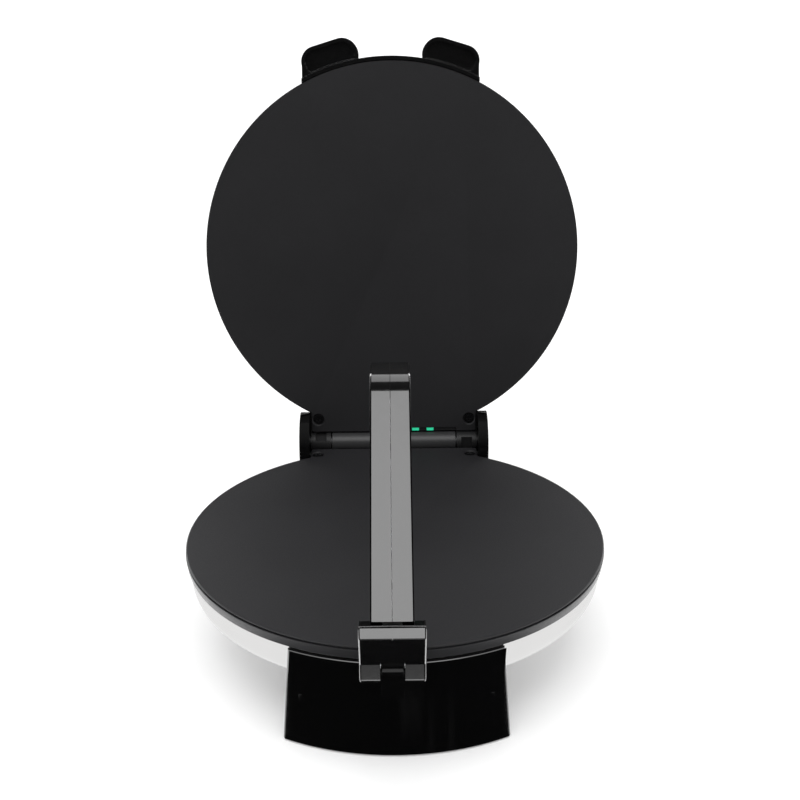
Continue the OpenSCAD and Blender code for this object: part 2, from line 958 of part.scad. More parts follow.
// A mains wire to the lamps, down behind the reflector, and one from the element to the thermostat
module lid_wiring() {
  pin_z = plate_gap + plate_t + 0.3 + element_tube + 12 + 5;
  run_z = pin_z + 1.5;
  lamp_wire_z = plate_gap + plate_t + 2.2;
  blade_z = plate_gap + plate_t + 16;
  drop_y = reflector_end + 2.8;
  leg_x = element_r * sin(element_half_gap);
  leg_y = element_r * cos(element_half_gap);
  color("#c9b8a0")
    opened() {
      wire([
        [leg_x, leg_y, pin_z + 0.2], [leg_x, leg_y, run_z], [20, drop_y, run_z - 1],
        [21, drop_y + 0.3, lamp_wire_z], [19, plate_r - 9.4, lamp_wire_z + 0.2],
      ]);
      wire([
        [-leg_x, leg_y, pin_z + 0.2], [-leg_x, leg_y, run_z], [-6, 2, run_z - 1],
        [-5, 0, blade_z + 0.4],
      ]);
    }
}

// ---------- lever ----------

// A point of the lever's side view, from s along the arm and n towards its front
function lean(s, n) = pivot + [
  s * cos(lever_lean) - n * sin(lever_lean),
  s * sin(lever_lean) + n * cos(lever_lean),
];

module hub_section() {
  polygon(concat(
    arc(pivot, lug_r, 180, 360 + hub_back_angle),
    [
      lean(19.6, arm_back), lean(hub_top_s, arm_back), lean(hub_top_s, 23.4), lean(20.1, 23.9),
      lean(3.1, 9.7),
    ]
  ));
}

module lever_hub() {
  color(black)
    at_lever()
      difference() {
        across(-hub_w / 2, hub_w / 2) hub_section();
        across(-slot_w / 2, slot_w / 2)
          translate(pivot - [20, 20]) square([40, 20 + slot_top]);
        across(-arm_root_w / 2 - 0.1, arm_root_w / 2 + 0.1)
          polygon([
            lean(socket_s, arm_back - 2), lean(socket_s, arm_front + 0.1),
            lean(hub_top_s + 5, arm_front + 0.1), lean(hub_top_s + 5, arm_back - 2),
          ]);
        across(-core_w / 2 - 0.1, core_w / 2 + 0.1)
          polygon(core_corners(13 - 0.2, 0.1));
        translate([-hub_w / 2 + 1.4, pivot[0], pivot[1]])
          rotate([0, 90, 0]) cylinder(r = pin_r + 0.06, h = hub_w - 2.8);
      }
}

// Side view of the arm, which bends inwards at its tip
module arm_section() {
  bend = lean(lever_len, arm_front - bend_r);
  lip_top = bend[1] + bend_r;
  lip_end = bend[0] + lip_len;
  inner_s = (lip_top - lip_t - pivot[1] - arm_back * cos(lever_lean)) / sin(lever_lean);
  polygon(concat(
    [lean(socket_s + 0.2, arm_back), lean(socket_s + 0.2, arm_front)],
    arc(bend, bend_r, lever_lean + 90, 90),
    [[lip_end, lip_top], [lip_end, lip_top - lip_t], lean(inner_s, arm_back)]
  ));
}

module arm_taper() {
  top = lean(lever_len, arm_front)[1] + 20;
  root = lean(socket_s, arm_back)[1] - 10;
  slope = (arm_root_w - arm_tip_w) / 2 / (lever_len - socket_s);
  top_w = arm_tip_w / 2 - 20 * slope;
  root_w = arm_root_w / 2;
  polygon([[seam, root], [root_w, root], [root_w, root + 12], [top_w, top], [seam, top]]);
}

// Side view of the steel core inside the arm
function core_corners(start, margin) = [
  lean(start, 14 - margin), lean(start, 14 + core_t + margin),
  lean(lever_len - 4, 14 + core_t + margin), lean(lever_len - 4, 14 - margin),
];

module arm_half() {
  difference() {
    intersection() {
      across(0, hub_w) arm_section();
      rotate([90, 0, 0]) linear_extrude(4 * plate_r, center = true) arm_taper();
    }
    across(-core_w / 2 - 0.1, core_w / 2 + 0.1) polygon(core_corners(0, 0.1));
  }
}

module lever_arm_right() {
  color(black)
    at_lever()
      difference() {
        arm_half();
        arm_screw_holes();
      }
}

module lever_arm_left() {
  color(black)
    at_lever()
      difference() {
        mirror([1, 0, 0]) arm_half();
        arm_screw_holes();
      }
}

module lever_core() {
  color(zinc)
    at_lever()
      difference() {
        across(-core_w / 2, core_w / 2) polygon(core_corners(13, 0));
        arm_screw_holes();
      }
}

// Screws through the back of the arm into the steel core
module arm_screw_holes() {
  for (s = arm_screw_s)
    at_arm_back(s) {
      translate([0, 0, -9]) cylinder(r = 1.6, h = 10);
      translate([0, 0, -1.6]) cylinder(r = 2.9, h = 3);
    }
}

module lever_screws() {
  color(zinc)
    at_lever()
      for (s = arm_screw_s)
        at_arm_back(s) translate([0, 0, -1.6]) screw(1.5, 5.5, 2.8, 1.4);
}

// A frame on the back face of the arm, with +Z pointing out of that face
module at_arm_back(s) {
  p = lean(s, arm_back);
  translate([0, p[0], p[1]]) rotate([lever_lean - 180, 0, 0]) children();
}

stand_spine();
front_leg();
hinge_housing();
hinge_cheek_left();
hinge_cheek_right();
cheek_screws();
bottom_cover();
rubber_feet();
bottom_screws();
frame_screws();
body_screws();
lower_housing();
lower_plate();
lower_plate_screws();
lower_element();
lower_element_clamps();
lower_reflector();
thermostat();
thermal_fuse();
terminal_block();
lower_wiring();
cord_inlet();
hinge_shaft();
hinge_sleeve();
lever_pin();
upper_plate();
upper_plate_screws();
lid_shell();
lid_handle();
handle_screws();
hinge_bracket_left();
hinge_bracket_right();
hinge_cover();
dome_screws();
upper_element();
upper_element_clamps();
upper_reflector();
upper_thermostat();
lamp_board();
indicator_lenses();
lid_wiring();
lever_hub();
lever_arm_left();
lever_arm_right();
lever_core();
lever_screws();
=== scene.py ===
import json
import math

import bmesh
import bpy
from mathutils import Matrix, Vector

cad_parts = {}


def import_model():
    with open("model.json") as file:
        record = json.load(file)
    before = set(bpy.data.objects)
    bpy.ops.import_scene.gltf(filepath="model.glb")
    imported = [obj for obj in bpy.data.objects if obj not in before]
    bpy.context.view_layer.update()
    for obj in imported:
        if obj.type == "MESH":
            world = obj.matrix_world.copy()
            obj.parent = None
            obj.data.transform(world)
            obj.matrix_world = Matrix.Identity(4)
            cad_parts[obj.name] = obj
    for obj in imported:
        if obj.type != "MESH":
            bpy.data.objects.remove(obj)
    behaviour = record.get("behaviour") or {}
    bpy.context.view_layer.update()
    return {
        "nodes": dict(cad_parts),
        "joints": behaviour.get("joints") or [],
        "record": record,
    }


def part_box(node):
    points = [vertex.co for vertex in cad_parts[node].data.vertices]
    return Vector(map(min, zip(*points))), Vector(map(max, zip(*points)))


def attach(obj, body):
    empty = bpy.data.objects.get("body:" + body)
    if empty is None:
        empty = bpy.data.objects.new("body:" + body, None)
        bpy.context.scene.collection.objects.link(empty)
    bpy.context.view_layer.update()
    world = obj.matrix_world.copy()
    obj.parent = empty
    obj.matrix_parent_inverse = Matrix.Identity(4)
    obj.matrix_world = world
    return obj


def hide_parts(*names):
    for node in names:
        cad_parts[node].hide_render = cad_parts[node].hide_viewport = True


# The looks of an electric flatbread maker: studio, materials and finished meshes around the CAD frame.
# Pieces are drawn in millimetres, and a matrix takes them to the frame, which is in metres. The places and
# sizes of lamps are in metres.

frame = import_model()
record = frame["record"]
nodes = frame["nodes"]
body_of = {node: body for body, members in record["behaviour"]["bodies"].items() for node in members}
slot_of = {sub["node"]: sub["material_slot"] for sub in record["subparts"]}
joints = {joint["name"]: joint for joint in frame["joints"]}

MM = 0.001


def linked(name, data):
    """A new object with the data, in the scene."""
    item = bpy.data.objects.new(name, data)
    bpy.context.collection.objects.link(item)
    return item


def mesh_object(name, bm):
    """The object of a finished mesh."""
    data = bpy.data.meshes.new(name)
    bm.to_mesh(data)
    bm.free()
    return linked(name, data)


# ---------- materials ----------

# How far the roughness strays to both sides, as a share of it
ROUGH_SPREAD = 0.15
# Grain that is fine in height and drawn out sideways, like the marks of spinning
SPUN = (0.02, 0.02, 1.0)


def ramp(tree, source, low, high):
    """A colour ramp over the source's middle range, from the low colour to the high one."""
    node = tree.nodes.new("ShaderNodeValToRGB")
    node.color_ramp.elements[0].position = 0.3
    node.color_ramp.elements[0].color = (*low, 1)
    node.color_ramp.elements[1].position = 0.7
    node.color_ramp.elements[1].color = (*high, 1)
    tree.links.new(source, node.inputs["Fac"])
    return node.outputs["Color"]


def span(tree, source, low, high, start=0.3, end=0.7):
    """The source's start..end mapped to low..high."""
    node = tree.nodes.new("ShaderNodeMapRange")
    node.inputs["From Min"].default_value = start
    node.inputs["From Max"].default_value = end
    node.inputs["To Min"].default_value = low
    node.inputs["To Max"].default_value = high
    tree.links.new(source, node.inputs["Value"])
    return node.outputs["Result"]


def noise(tree, scale, stretch=(1, 1, 1)):
    """Noise over the object's own coordinates; scale is in features per metre."""
    place = tree.nodes.new("ShaderNodeTexCoord")
    mapping = tree.nodes.new("ShaderNodeMapping")
    mapping.inputs["Scale"].default_value = stretch
    node = tree.nodes.new("ShaderNodeTexNoise")
    node.inputs["Scale"].default_value = scale
    node.inputs["Detail"].default_value = 3.0
    tree.links.new(place.outputs["Object"], mapping.inputs["Vector"])
    tree.links.new(mapping.outputs["Vector"], node.inputs["Vector"])
    return node.outputs["Fac"]


def wear_and_painted_highlight(tree, tint, colour, amount):
    """Mixes a lighter tone into the tint along convex edges, broken up by noise: partly wear, partly a
    painted edge highlight.
    """
    geometry = tree.nodes.new("ShaderNodeNewGeometry")
    edge = span(tree, geometry.outputs["Pointiness"], 0.0, amount, 0.52, 0.60)
    broken = tree.nodes.new("ShaderNodeMath")
    broken.operation = "MULTIPLY"
    tree.links.new(edge, broken.inputs[0])
    tree.links.new(noise(tree, 400.0), broken.inputs[1])
    mix = tree.nodes.new("ShaderNodeMix")
    mix.data_type = "RGBA"
    # The lighter tone stands for wear and for a painted highlight along the edges.
    lighter = tuple(min(1.0, c * 2.5 + 0.01) for c in colour)
    mix.inputs["B"].default_value = (*lighter, 1)
    tree.links.new(broken.outputs[0], mix.inputs["Factor"])
    tree.links.new(tint, mix.inputs["A"])
    return mix.outputs["Result"]


def surface(name, colour, roughness, metallic=0.0, specular=0.5, spread=0.08, patch=25.0, grain=2500.0,
            bump=0.0, depth=0.00005, stretch=(1, 1, 1), edge_wear_and_highlight=0.0):
    """
    A procedural finish: patches of colour, uneven roughness, a fine bump and lighter convex edges, partly
    worn and partly a painted edge highlight.

    spread is how far the colour strays, patch and grain are features per metre, depth is the height of the
    bump in metres, and stretch draws the grain out along an axis.
    """
    material = bpy.data.materials.new(name)
    material.use_nodes = True
    tree = material.node_tree
    shader = tree.nodes["Principled BSDF"]
    shader.inputs["Metallic"].default_value = metallic
    shader.inputs["Specular IOR Level"].default_value = specular
    low = tuple(c * (1 - spread) for c in colour)
    high = tuple(c * (1 + spread) for c in colour)
    tint = ramp(tree, noise(tree, patch), low, high)
    if edge_wear_and_highlight:
        tint = wear_and_painted_highlight(tree, tint, colour, edge_wear_and_highlight)
    tree.links.new(tint, shader.inputs["Base Color"])
    uneven = noise(tree, grain / 4, stretch)
    rough = span(tree, uneven, roughness * (1 - ROUGH_SPREAD), roughness * (1 + ROUGH_SPREAD))
    tree.links.new(rough, shader.inputs["Roughness"])
    if bump:
        relief = tree.nodes.new("ShaderNodeBump")
        relief.inputs["Strength"].default_value = bump
        relief.inputs["Distance"].default_value = depth
        tree.links.new(noise(tree, grain, stretch), relief.inputs["Height"])
        tree.links.new(relief.outputs["Normal"], shader.inputs["Normal"])
    return material


# Each finish's edge amount lightens its convex edges, partly as wear and partly as a painted edge highlight.
FINISHES = {
    "black_plastic": dict(colour=(0.0009, 0.0009, 0.001), roughness=0.14, spread=0.1, grain=1200, bump=0.02,
                          edge_wear_and_highlight=0.3),
    "black_matte_plastic": dict(colour=(0.012, 0.012, 0.013), roughness=0.55, specular=0.3, bump=0.3),
    "rubber": dict(colour=(0.016, 0.016, 0.016), roughness=0.75, specular=0.25, bump=0.4, edge_wear_and_highlight=0.4),
    "polished_steel": dict(colour=(0.86, 0.855, 0.85), roughness=0.17, metallic=1.0, spread=0.02,
                           grain=9000, bump=0.05, stretch=SPUN),
    "zinc_steel": dict(colour=(0.55, 0.56, 0.57), roughness=0.34, metallic=1.0, bump=0.15),
    "dark_steel": dict(colour=(0.035, 0.035, 0.037), roughness=0.36, metallic=1.0, bump=0.15, edge_wear_and_highlight=0.8),
    "non_stick": dict(colour=(0.0165, 0.0163, 0.0178), roughness=0.5, specular=0.22, spread=0.07, patch=18,
                      grain=5200, bump=0.35, depth=0.00004, edge_wear_and_highlight=0.25),
    "dark_casting": dict(colour=(0.014, 0.014, 0.0145), roughness=0.42, specular=0.4, grain=3800, bump=0.3,
                         edge_wear_and_highlight=0.5),
    "dark_sleeve": dict(colour=(0.03, 0.03, 0.031), roughness=0.36, specular=0.6, grain=3000, bump=0.12,
                        edge_wear_and_highlight=0.4),
    "reflector_aluminium": dict(colour=(0.8, 0.8, 0.8), roughness=0.28, metallic=1.0, bump=0.1),
    "ceramic_white": dict(colour=(0.8, 0.78, 0.72), roughness=0.35, bump=0.1),
    "terminal_plastic": dict(colour=(0.72, 0.69, 0.62), roughness=0.5, bump=0.15),
    "wire_sleeve": dict(colour=(0.5, 0.42, 0.32), roughness=0.8, bump=0.6, grain=1600, depth=0.0002),
}


def lamp_material(name):
    """Green clear plastic that glows unevenly."""
    material = surface(name, (0.03, 0.55, 0.30), 0.25, spread=0.1)
    tree = material.node_tree
    shader = tree.nodes["Principled BSDF"]
    glow = ramp(tree, noise(tree, 300.0), (0.01, 0.50, 0.24), (0.03, 0.62, 0.33))
    tree.links.new(glow, shader.inputs["Emission Color"])
    shader.inputs["Emission Strength"].default_value = 0.55
    return material


materials = {slot: surface(slot, **finish) for slot, finish in FINISHES.items()}
materials["lamp_green"] = lamp_material("lamp_green")


# ---------- studio ----------

WORLD_LIGHT = 0.72
SKY_LOW = 0.012
SKY_HIGH = 0.24
SUN_LIGHT = 1.75
FLOOR_GLOW = 0.14
FLOOR_R = 14


def camera():
    """The camera at the photograph's place, looking down at the open maker from the front."""
    place = Vector((-1.2, -733.9, 444.8)) * MM
    pitch = math.radians(22.18)
    yaw = math.radians(0.39)
    roll = math.radians(-0.39)
    ahead = Vector((math.sin(yaw) * math.cos(pitch), math.cos(yaw) * math.cos(pitch), -math.sin(pitch)))
    right = Vector((math.cos(yaw), -math.sin(yaw), 0))
    up = right.cross(ahead)
    rolled_right = math.cos(roll) * right + math.sin(roll) * up
    rolled_up = -math.sin(roll) * right + math.cos(roll) * up
    turn = Matrix((rolled_right, rolled_up, -ahead)).transposed()
    data = bpy.data.cameras.new("camera")
    data.sensor_width = 36
    data.lens = 58.635
    data.clip_end = 60
    view = linked("camera", data)
    view.matrix_world = Matrix.Translation(place) @ turn.to_4x4()
    bpy.context.scene.camera = view


def background(tree, strength):
    """A white background of that strength."""
    node = tree.nodes.new("ShaderNodeBackground")
    node.inputs["Color"].default_value = (1, 1, 1, 1)
    node.inputs["Strength"].default_value = strength
    return node


def choose(tree, switch, off, on):
    """The first shader where the switch is 0, and the second where it is 1."""
    node = tree.nodes.new("ShaderNodeMixShader")
    tree.links.new(switch, node.inputs["Fac"])
    tree.links.new(off.outputs[0], node.inputs[1])
    tree.links.new(on.outputs[0], node.inputs[2])
    return node


def world():
    """Even white light for matt surfaces, a dim sky in reflections, and white past the floor."""
    studio_world = bpy.data.worlds.new("studio")
    studio_world.use_nodes = True
    tree = studio_world.node_tree
    tree.nodes.clear()
    place = tree.nodes.new("ShaderNodeTexCoord")
    split = tree.nodes.new("ShaderNodeSeparateXYZ")
    tree.links.new(place.outputs["Generated"], split.inputs["Vector"])
    brighter_upwards = span(tree, split.outputs["Z"], SKY_LOW, SKY_HIGH, -0.05, 1.0)
    sky = background(tree, 1.0)
    tree.links.new(brighter_upwards, sky.inputs["Strength"])
    rays = tree.nodes.new("ShaderNodeLightPath")
    light = choose(tree, rays.outputs["Is Glossy Ray"], background(tree, WORLD_LIGHT), sky)
    seen = choose(tree, rays.outputs["Is Camera Ray"], light, background(tree, 1.0))
    out = tree.nodes.new("ShaderNodeOutputWorld")
    tree.links.new(seen.outputs[0], out.inputs["Surface"])
    bpy.context.scene.world = studio_world


def floor():
    """A plain pale round floor that fills every view, casts no shadow and shows in no reflection."""
    bm = bmesh.new()
    bmesh.ops.create_circle(bm, cap_ends=True, radius=FLOOR_R, segments=64)
    ground = mesh_object("floor", bm)
    paper = surface("pale_floor", (0.92, 0.92, 0.92), 0.8, specular=0.0, spread=0.01)
    shader = paper.node_tree.nodes["Principled BSDF"]
    shader.inputs["Emission Color"].default_value = (1, 1, 1, 1)
    shader.inputs["Emission Strength"].default_value = FLOOR_GLOW
    ground.data.materials.append(paper)
    ground.visible_glossy = False
    ground.visible_shadow = False


def sun():
    """Broad soft daylight from above for matt surfaces, which makes the shadow under the maker."""
    data = bpy.data.lights.new("sun", "SUN")
    data.energy = SUN_LIGHT
    data.angle = math.radians(60)
    lamp = linked("sun", data)
    lamp.rotation_euler = (math.radians(6), math.radians(-4), 0)
    lamp.visible_glossy = False


def softbox(name, place, target, size, radiance, lit):
    """A rectangular lamp of size (width, height), which only shows in reflections on the lit pieces."""
    data = bpy.data.lights.new(name, "AREA")
    data.shape = "RECTANGLE"
    data.size, data.size_y = size
    data.energy = radiance * math.pi * size[0] * size[1]
    lamp = linked(name, data)
    lamp.location = place
    lamp.rotation_euler = (Vector(target) - Vector(place)).to_track_quat("-Z", "Y").to_euler()
    lamp.visible_diffuse = False
    lamp.visible_camera = False
    receivers = bpy.data.collections.new(lamp.name + "_lit")
    for piece in lit:
        receivers.objects.link(piece)
    lamp.light_linking.receiver_collection = receivers


def studio(pieces):
    """Camera, world and lamps. Each softbox is a reflection that belongs to some pieces only."""
    camera()
    world()
    sun()
    arms = [pieces["lever_arm_left"], pieces["lever_arm_right"]]
    hub = [pieces["lever_hub"], pieces["hub_lip"]]
    hub_and_lug = hub + [pieces["lug_cover"]]
    cheeks = [pieces["hinge_cheek_left"], pieces["hinge_cheek_right"]]
    steel = [pieces["lower_housing"], pieces["lid_shell"]]
    plate = [pieces["lower_plate"]]
    leg = [pieces["front_leg"]]
    handle = [pieces["lid_handle"]]
    others = [piece for piece in pieces.values() if piece not in arms + cheeks]

    # Each is a name, a place, the point it faces, its size, its radiance and the pieces that reflect it
    softbox("overhead", (0, -0.9, 1.7), (0, -0.15, 0.2), (1.7, 1.5), 1.6, others)
    softbox("front", (0, -1.7, 0.18), (0, -0.17, 0.14), (1.8, 0.86), 7.0, arms + hub)
    softbox("tip", (0, 0.065, 1.2), (0, 0.065, 0), (1.0, 1.13), 4.0, arms)
    softbox("top", (0, -0.2, 1.3), (0, 0.1, 0.3), (1.6, 1.8), 9.0, handle)
    softbox("leg_top", (0, -0.9, 1.4), (0, -0.15, 0.05), (3.6, 1.0), 3.4, leg)
    softbox("low_front", (0, -1.2, -0.6), (0, -0.19, 0.06), (0.7, 0.8), 0.9, hub_and_lug)
    softbox("under", (0, -0.68, -0.6), (0, -0.19, 0.06), (0.7, 0.26), 4.5, hub)
    for side in (-1, 1):
        softbox("side", (side * 1.5, -0.4, 0.5), (0, 0, 0.2), (0.5, 1.3), 2.5, others)
        softbox("edge", (side * 1.0, 0.75, 0.2), (0, -0.15, 0.15), (0.9, 0.7), 7.0, arms + hub)
        softbox("low_side", (side * 0.7, 0.1, -0.6), (0, -0.15, 0.05), (0.8, 1.0), 4.5, hub)
        softbox("leg_side", (side * 0.7, 0.1, -0.6), (0, -0.15, 0.05), (0.8, 1.0), 2.6, leg)
        softbox("ear_side", (side * 1.1, -0.4, 0.8), (0, 0.13, 0.33), (0.8, 0.8), 9.0, handle)
        softbox("low_plate", (side * 0.62, -0.1, 0.002), (side * 0.62, -0.1, 1), (1.0, 1.6), 3.8, plate)
        softbox("glancing", (side * 0.75, 0.7, 0.5), (side * 0.1, -0.02, 0.07), (0.7, 0.9), 4.3, plate)
    softbox("below", (0, 0, 0.002), (0, 0, 1), (2.4, 2.4), 0.86, steel)
    softbox("behind", (0, 2.2, 0.7), (0, 0, 0.2), (3.4, 1.8), 0.7, steel)
    bpy.context.scene.view_settings.view_transform = "Standard"
    bpy.context.scene.view_settings.look = "None"


# ---------- finishing a mesh ----------

def smooth(piece, angle=32):
    """Smooth shading that stays sharp where faces meet at more than the angle."""
    for face in piece.data.polygons:
        face.use_smooth = True
    piece.data.set_sharp_from_angle(angle=math.radians(angle))


def round_edges(piece, width):
    """Rounds the sharp edges over, to a width in millimetres."""
    bevel = piece.modifiers.new("round_edges", "BEVEL")
    bevel.width = width * MM
    bevel.segments = 3
    bevel.limit_method = "ANGLE"
    bevel.angle_limit = math.radians(32)
    bevel.use_clamp_overlap = True
    bevel.harden_normals = True
    piece.modifiers.new("even_normals", "WEIGHTED_NORMAL").keep_sharp = True


def finish_piece(piece, node):
    """The piece stands for the CAD node: same body, same slot, same finish."""
    piece.data.materials.clear()
    piece.data.materials.append(materials[slot_of[node]])
    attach(piece, body_of[node])
    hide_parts(node)


def finish_extra(piece, body, slot):
    """The piece is only part of the looks, and stands for no CAD node."""
    piece.data.materials.append(materials[slot])
    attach(piece, body)


def refined(node, width, shape):
    """A finished copy of a CAD node: flat faces joined, shaped if there is a shape for it, edges rounded."""
    bm = bmesh.new()
    bm.from_mesh(nodes[node].data)
    bmesh.ops.remove_doubles(bm, verts=bm.verts, dist=0.001 * MM)
    bmesh.ops.dissolve_limit(bm, angle_limit=math.radians(0.2), verts=bm.verts, edges=bm.edges)
    piece = mesh_object(node + "_finish", bm)
    if shape:
        shape(piece)
    smooth(piece)
    round_edges(piece, width)
    finish_piece(piece, node)
    return piece


# ---------- the frames that pieces are drawn in ----------

plate_low, plate_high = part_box("lower_plate")
PLATE_R = (plate_high.x - plate_low.x) / 2 / MM
PLATE_CENTRE = Vector((0, (plate_low.y + plate_high.y) / 2, plate_high.z))
# Between the two closed plates
PLATE_GAP = 0.6
HINGE = Vector(joints["lid_hinge"]["pos_m"])
LID_OPEN = math.radians(joints["lid_hinge"]["range_deg"][1])
PIVOT = Vector(joints["lever_swing"]["pos_m"])
LEVER_X = sum(corner.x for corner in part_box("lever_pin")) / 2
# How far the lever stands up at rest
LEVER_LEAN = math.radians(74)

# Millimetres about the middle of the lower cooking surface
BASE = Matrix.Translation(PLATE_CENTRE) @ Matrix.Scale(MM, 4)
# The same for the closed lid, swung open about the hinge
LID = Matrix.Translation(HINGE) @ Matrix.Rotation(-LID_OPEN, 4, "X") @ Matrix.Translation(-HINGE) @ BASE
# The frame of the lid's plate, which lies upside down over the base plate
LID_PLATE = LID @ Matrix.Translation((0, 0, PLATE_GAP)) @ Matrix.Diagonal((1, 1, -1, 1))

AT_PIVOT = Matrix.Translation((LEVER_X, PIVOT.y, PIVOT.z))
# Millimetres along the lever: x across, y up the arm, z out of its front face
LEVER = AT_PIVOT @ Matrix.Rotation(LEVER_LEAN, 4, "X") @ Matrix.Scale(MM, 4)
# The lever's frame for cross sections, drawn as (across, out of the front face), with height up the arm
SECTION = LEVER @ Matrix(((1, 0, 0, 0), (0, 0, 1, 0), (0, 1, 0, 0), (0, 0, 0, 1)))
# Upright about the pivot for side views, drawn as (y, z) with x across
SIDE = AT_PIVOT @ Matrix.Scale(MM, 4) @ Matrix(((0, 0, 1, 0), (1, 0, 0, 0), (0, 1, 0, 0), (0, 0, 0, 1)))
# Upright about the pivot for front views, drawn as (x, z) with the depth towards the front
FRONT = AT_PIVOT @ Matrix.Scale(MM, 4) @ Matrix(((1, 0, 0, 0), (0, 0, -1, 0), (0, 1, 0, 0), (0, 0, 0, 1)))


# ---------- shapes ----------

def arc(centre, radius, start, end, steps):
    """Points on an arc, in degrees, both ends included."""
    angles = [math.radians(start + (end - start) * i / steps) for i in range(steps + 1)]
    return [(centre[0] + radius * math.cos(a), centre[1] + radius * math.sin(a)) for a in angles]


def circle(centre, radius, count):
    """A whole circle of points."""
    return arc(centre, radius, 0, 360 - 360 / count, count - 1)


def inset(outline, amount):
    """The outline moved inwards by an amount, with mitred corners. Outlines run anticlockwise."""
    moved = []
    count = len(outline)
    for i, point in enumerate(outline):
        before = Vector(point) - Vector(outline[i - 1])
        after = Vector(outline[(i + 1) % count]) - Vector(point)
        normals = [Vector((-edge.y, edge.x)).normalized() for edge in (before, after)]
        middle = (normals[0] + normals[1]) / 2
        moved.append(tuple(Vector(point) + middle * amount / max(middle.length_squared, 0.3)))
    return moved


def solid(name, rings, matrix):
    """A closed solid through rings of points, which all have the same number of points."""
    bm = bmesh.new()
    loops = [[bm.verts.new(matrix @ Vector(point)) for point in ring] for ring in rings]
    count = len(rings[0])
    for lower, upper in zip(loops, loops[1:]):
        for i in range(count):
            j = (i + 1) % count
            bm.faces.new((lower[i], lower[j], upper[j], upper[i]))
    bm.faces.new(reversed(loops[0]))
    bm.faces.new(loops[-1])
    bmesh.ops.recalc_face_normals(bm, faces=bm.faces)
    return mesh_object(name, bm)


def slab(name, outline, levels, matrix):
    """A solid from an outline and its levels (inset, height), from one end to the other."""
    rings = [[(x, y, height) for x, y in inset(outline, amount)] for amount, height in levels]
    return solid(name, rings, matrix)


def rounded_sides(half, radius, steps):
    """Levels of a slab whose two side edges are rounded over: (inset, place across)."""
    turns = [math.radians(90 * i / steps) for i in range(steps + 1)]
    rise = [(radius * (1 - math.sin(t)), half - radius * (1 - math.cos(t))) for t in turns]
    return [(amount, -place) for amount, place in rise] + rise[::-1]


def block(centre, size, matrix):
    """A cutter in the shape of a box."""
    cx, cy, cz = centre
    dx, dy, dz = (length / 2 for length in size)
    outline = [(cx - dx, cy - dy), (cx + dx, cy - dy), (cx + dx, cy + dy), (cx - dx, cy + dy)]
    return slab("cutter", outline, [(0, cz - dz), (0, cz + dz)], matrix)


def turned(profile, centre, matrix):
    """A turned cutter about a vertical axis, from its (radius, height) profile."""
    rings = [[(x, y, height) for x, y in circle(centre, radius, 40)] for radius, height in profile]
    return solid("cutter", rings, matrix)


def cut(piece, cutters):
    """Takes the cutters' volumes out of the piece for good."""
    for cutter in cutters:
        step = piece.modifiers.new("cut", "BOOLEAN")
        step.object = cutter
        step.solver = "EXACT"
    finished = bpy.data.meshes.new_from_object(piece.evaluated_get(bpy.context.evaluated_depsgraph_get()))
    piece.modifiers.clear()
    piece.data = finished
    for cutter in cutters:
        bpy.data.objects.remove(cutter)


def chamfer(piece, picks, width):
    """Bevels the edges that the rule picks, to a width in millimetres."""
    bm = bmesh.new()
    bm.from_mesh(piece.data)
    edges = [edge for edge in bm.edges if len(edge.link_faces) == 2 and picks(edge)]
    bmesh.ops.bevel(bm, geom=edges, offset=width * MM, segments=1, affect="EDGES", profile=0.5,
                    clamp_overlap=False)
    bmesh.ops.dissolve_degenerate(bm, dist=0.01 * MM, edges=bm.edges)
    bm.to_mesh(piece.data)
    bm.free()


# ---------- plates ----------

TAB_W = 58
TAB_CORNER = 1.5
TAB_SCREW = (53, PLATE_R - 9)
PLATE_T = 5
RIM_H = 8
# Where the lamps show through the edge of the lid plate's tab, from and to
LAMP_SLOT = (8, 44)
# How far a cutter's face stays out of the plane of the piece's own
OVERLAP = 0.02

# From the inside of the rim to the cooking surface: a side band, a groove and a ridge
PLATE_LEVELS = [
    (5, -PLATE_T), (5, -RIM_H + 0.3), (4.7, -RIM_H), (0.9, -RIM_H), (0.6, -RIM_H + 0.2), (0.5, -RIM_H + 0.5),
    (-0.2, -2.9), (-0.2, -2.5), (0.0, -2.3), (1.0, -2.1), (1.1, -1.6), (0.9, -1.2), (0.1, -1.0),
    (-0.05, -0.8), (0.0, -0.55), (0.6, 0),
]
# A screw hole with a flat seat and a countersink: (radius, height)
PLATE_HOLE = [(1.75, -PLATE_T - 1), (1.75, -2.6), (3.6, -2.6), (3.6, -0.9), (4.9, 0.4)]


def plate_outline():
    """A disc with a straight-edged tab at the hinge, anticlockwise."""
    side = math.degrees(math.acos(TAB_W / PLATE_R))
    disc = arc((0, 0), PLATE_R, 180 - side, 360 + side, 300)
    right = arc((TAB_W - TAB_CORNER, PLATE_R - TAB_CORNER), TAB_CORNER, 0, 90, 5)
    left = arc((-TAB_W + TAB_CORNER, PLATE_R - TAB_CORNER), TAB_CORNER, 90, 180, 5)
    return disc + right + left


def plate(node, matrix, lamp_slot=None):
    """A cast plate with a deep rim, which is left out under the tab, and with two screw holes."""
    piece = slab(node + "_finish", plate_outline(), PLATE_LEVELS, matrix)
    gap_size = (2 * TAB_W + 0.8, 60, 10)
    gap_centre = (0, PLATE_R + 3, OVERLAP - PLATE_T - gap_size[2] / 2)
    cutters = [
        block(gap_centre, gap_size, matrix),
        turned(PLATE_HOLE, (-TAB_SCREW[0], TAB_SCREW[1]), matrix),
        turned(PLATE_HOLE, TAB_SCREW, matrix),
    ]
    if lamp_slot:
        start, end = lamp_slot
        cutters.append(block(((start + end) / 2, PLATE_R + 1.2, -3), (end - start, 8, 12), matrix))
    cut(piece, cutters)
    smooth(piece, 28)
    finish_piece(piece, node)
    return piece


# ---------- lever ----------

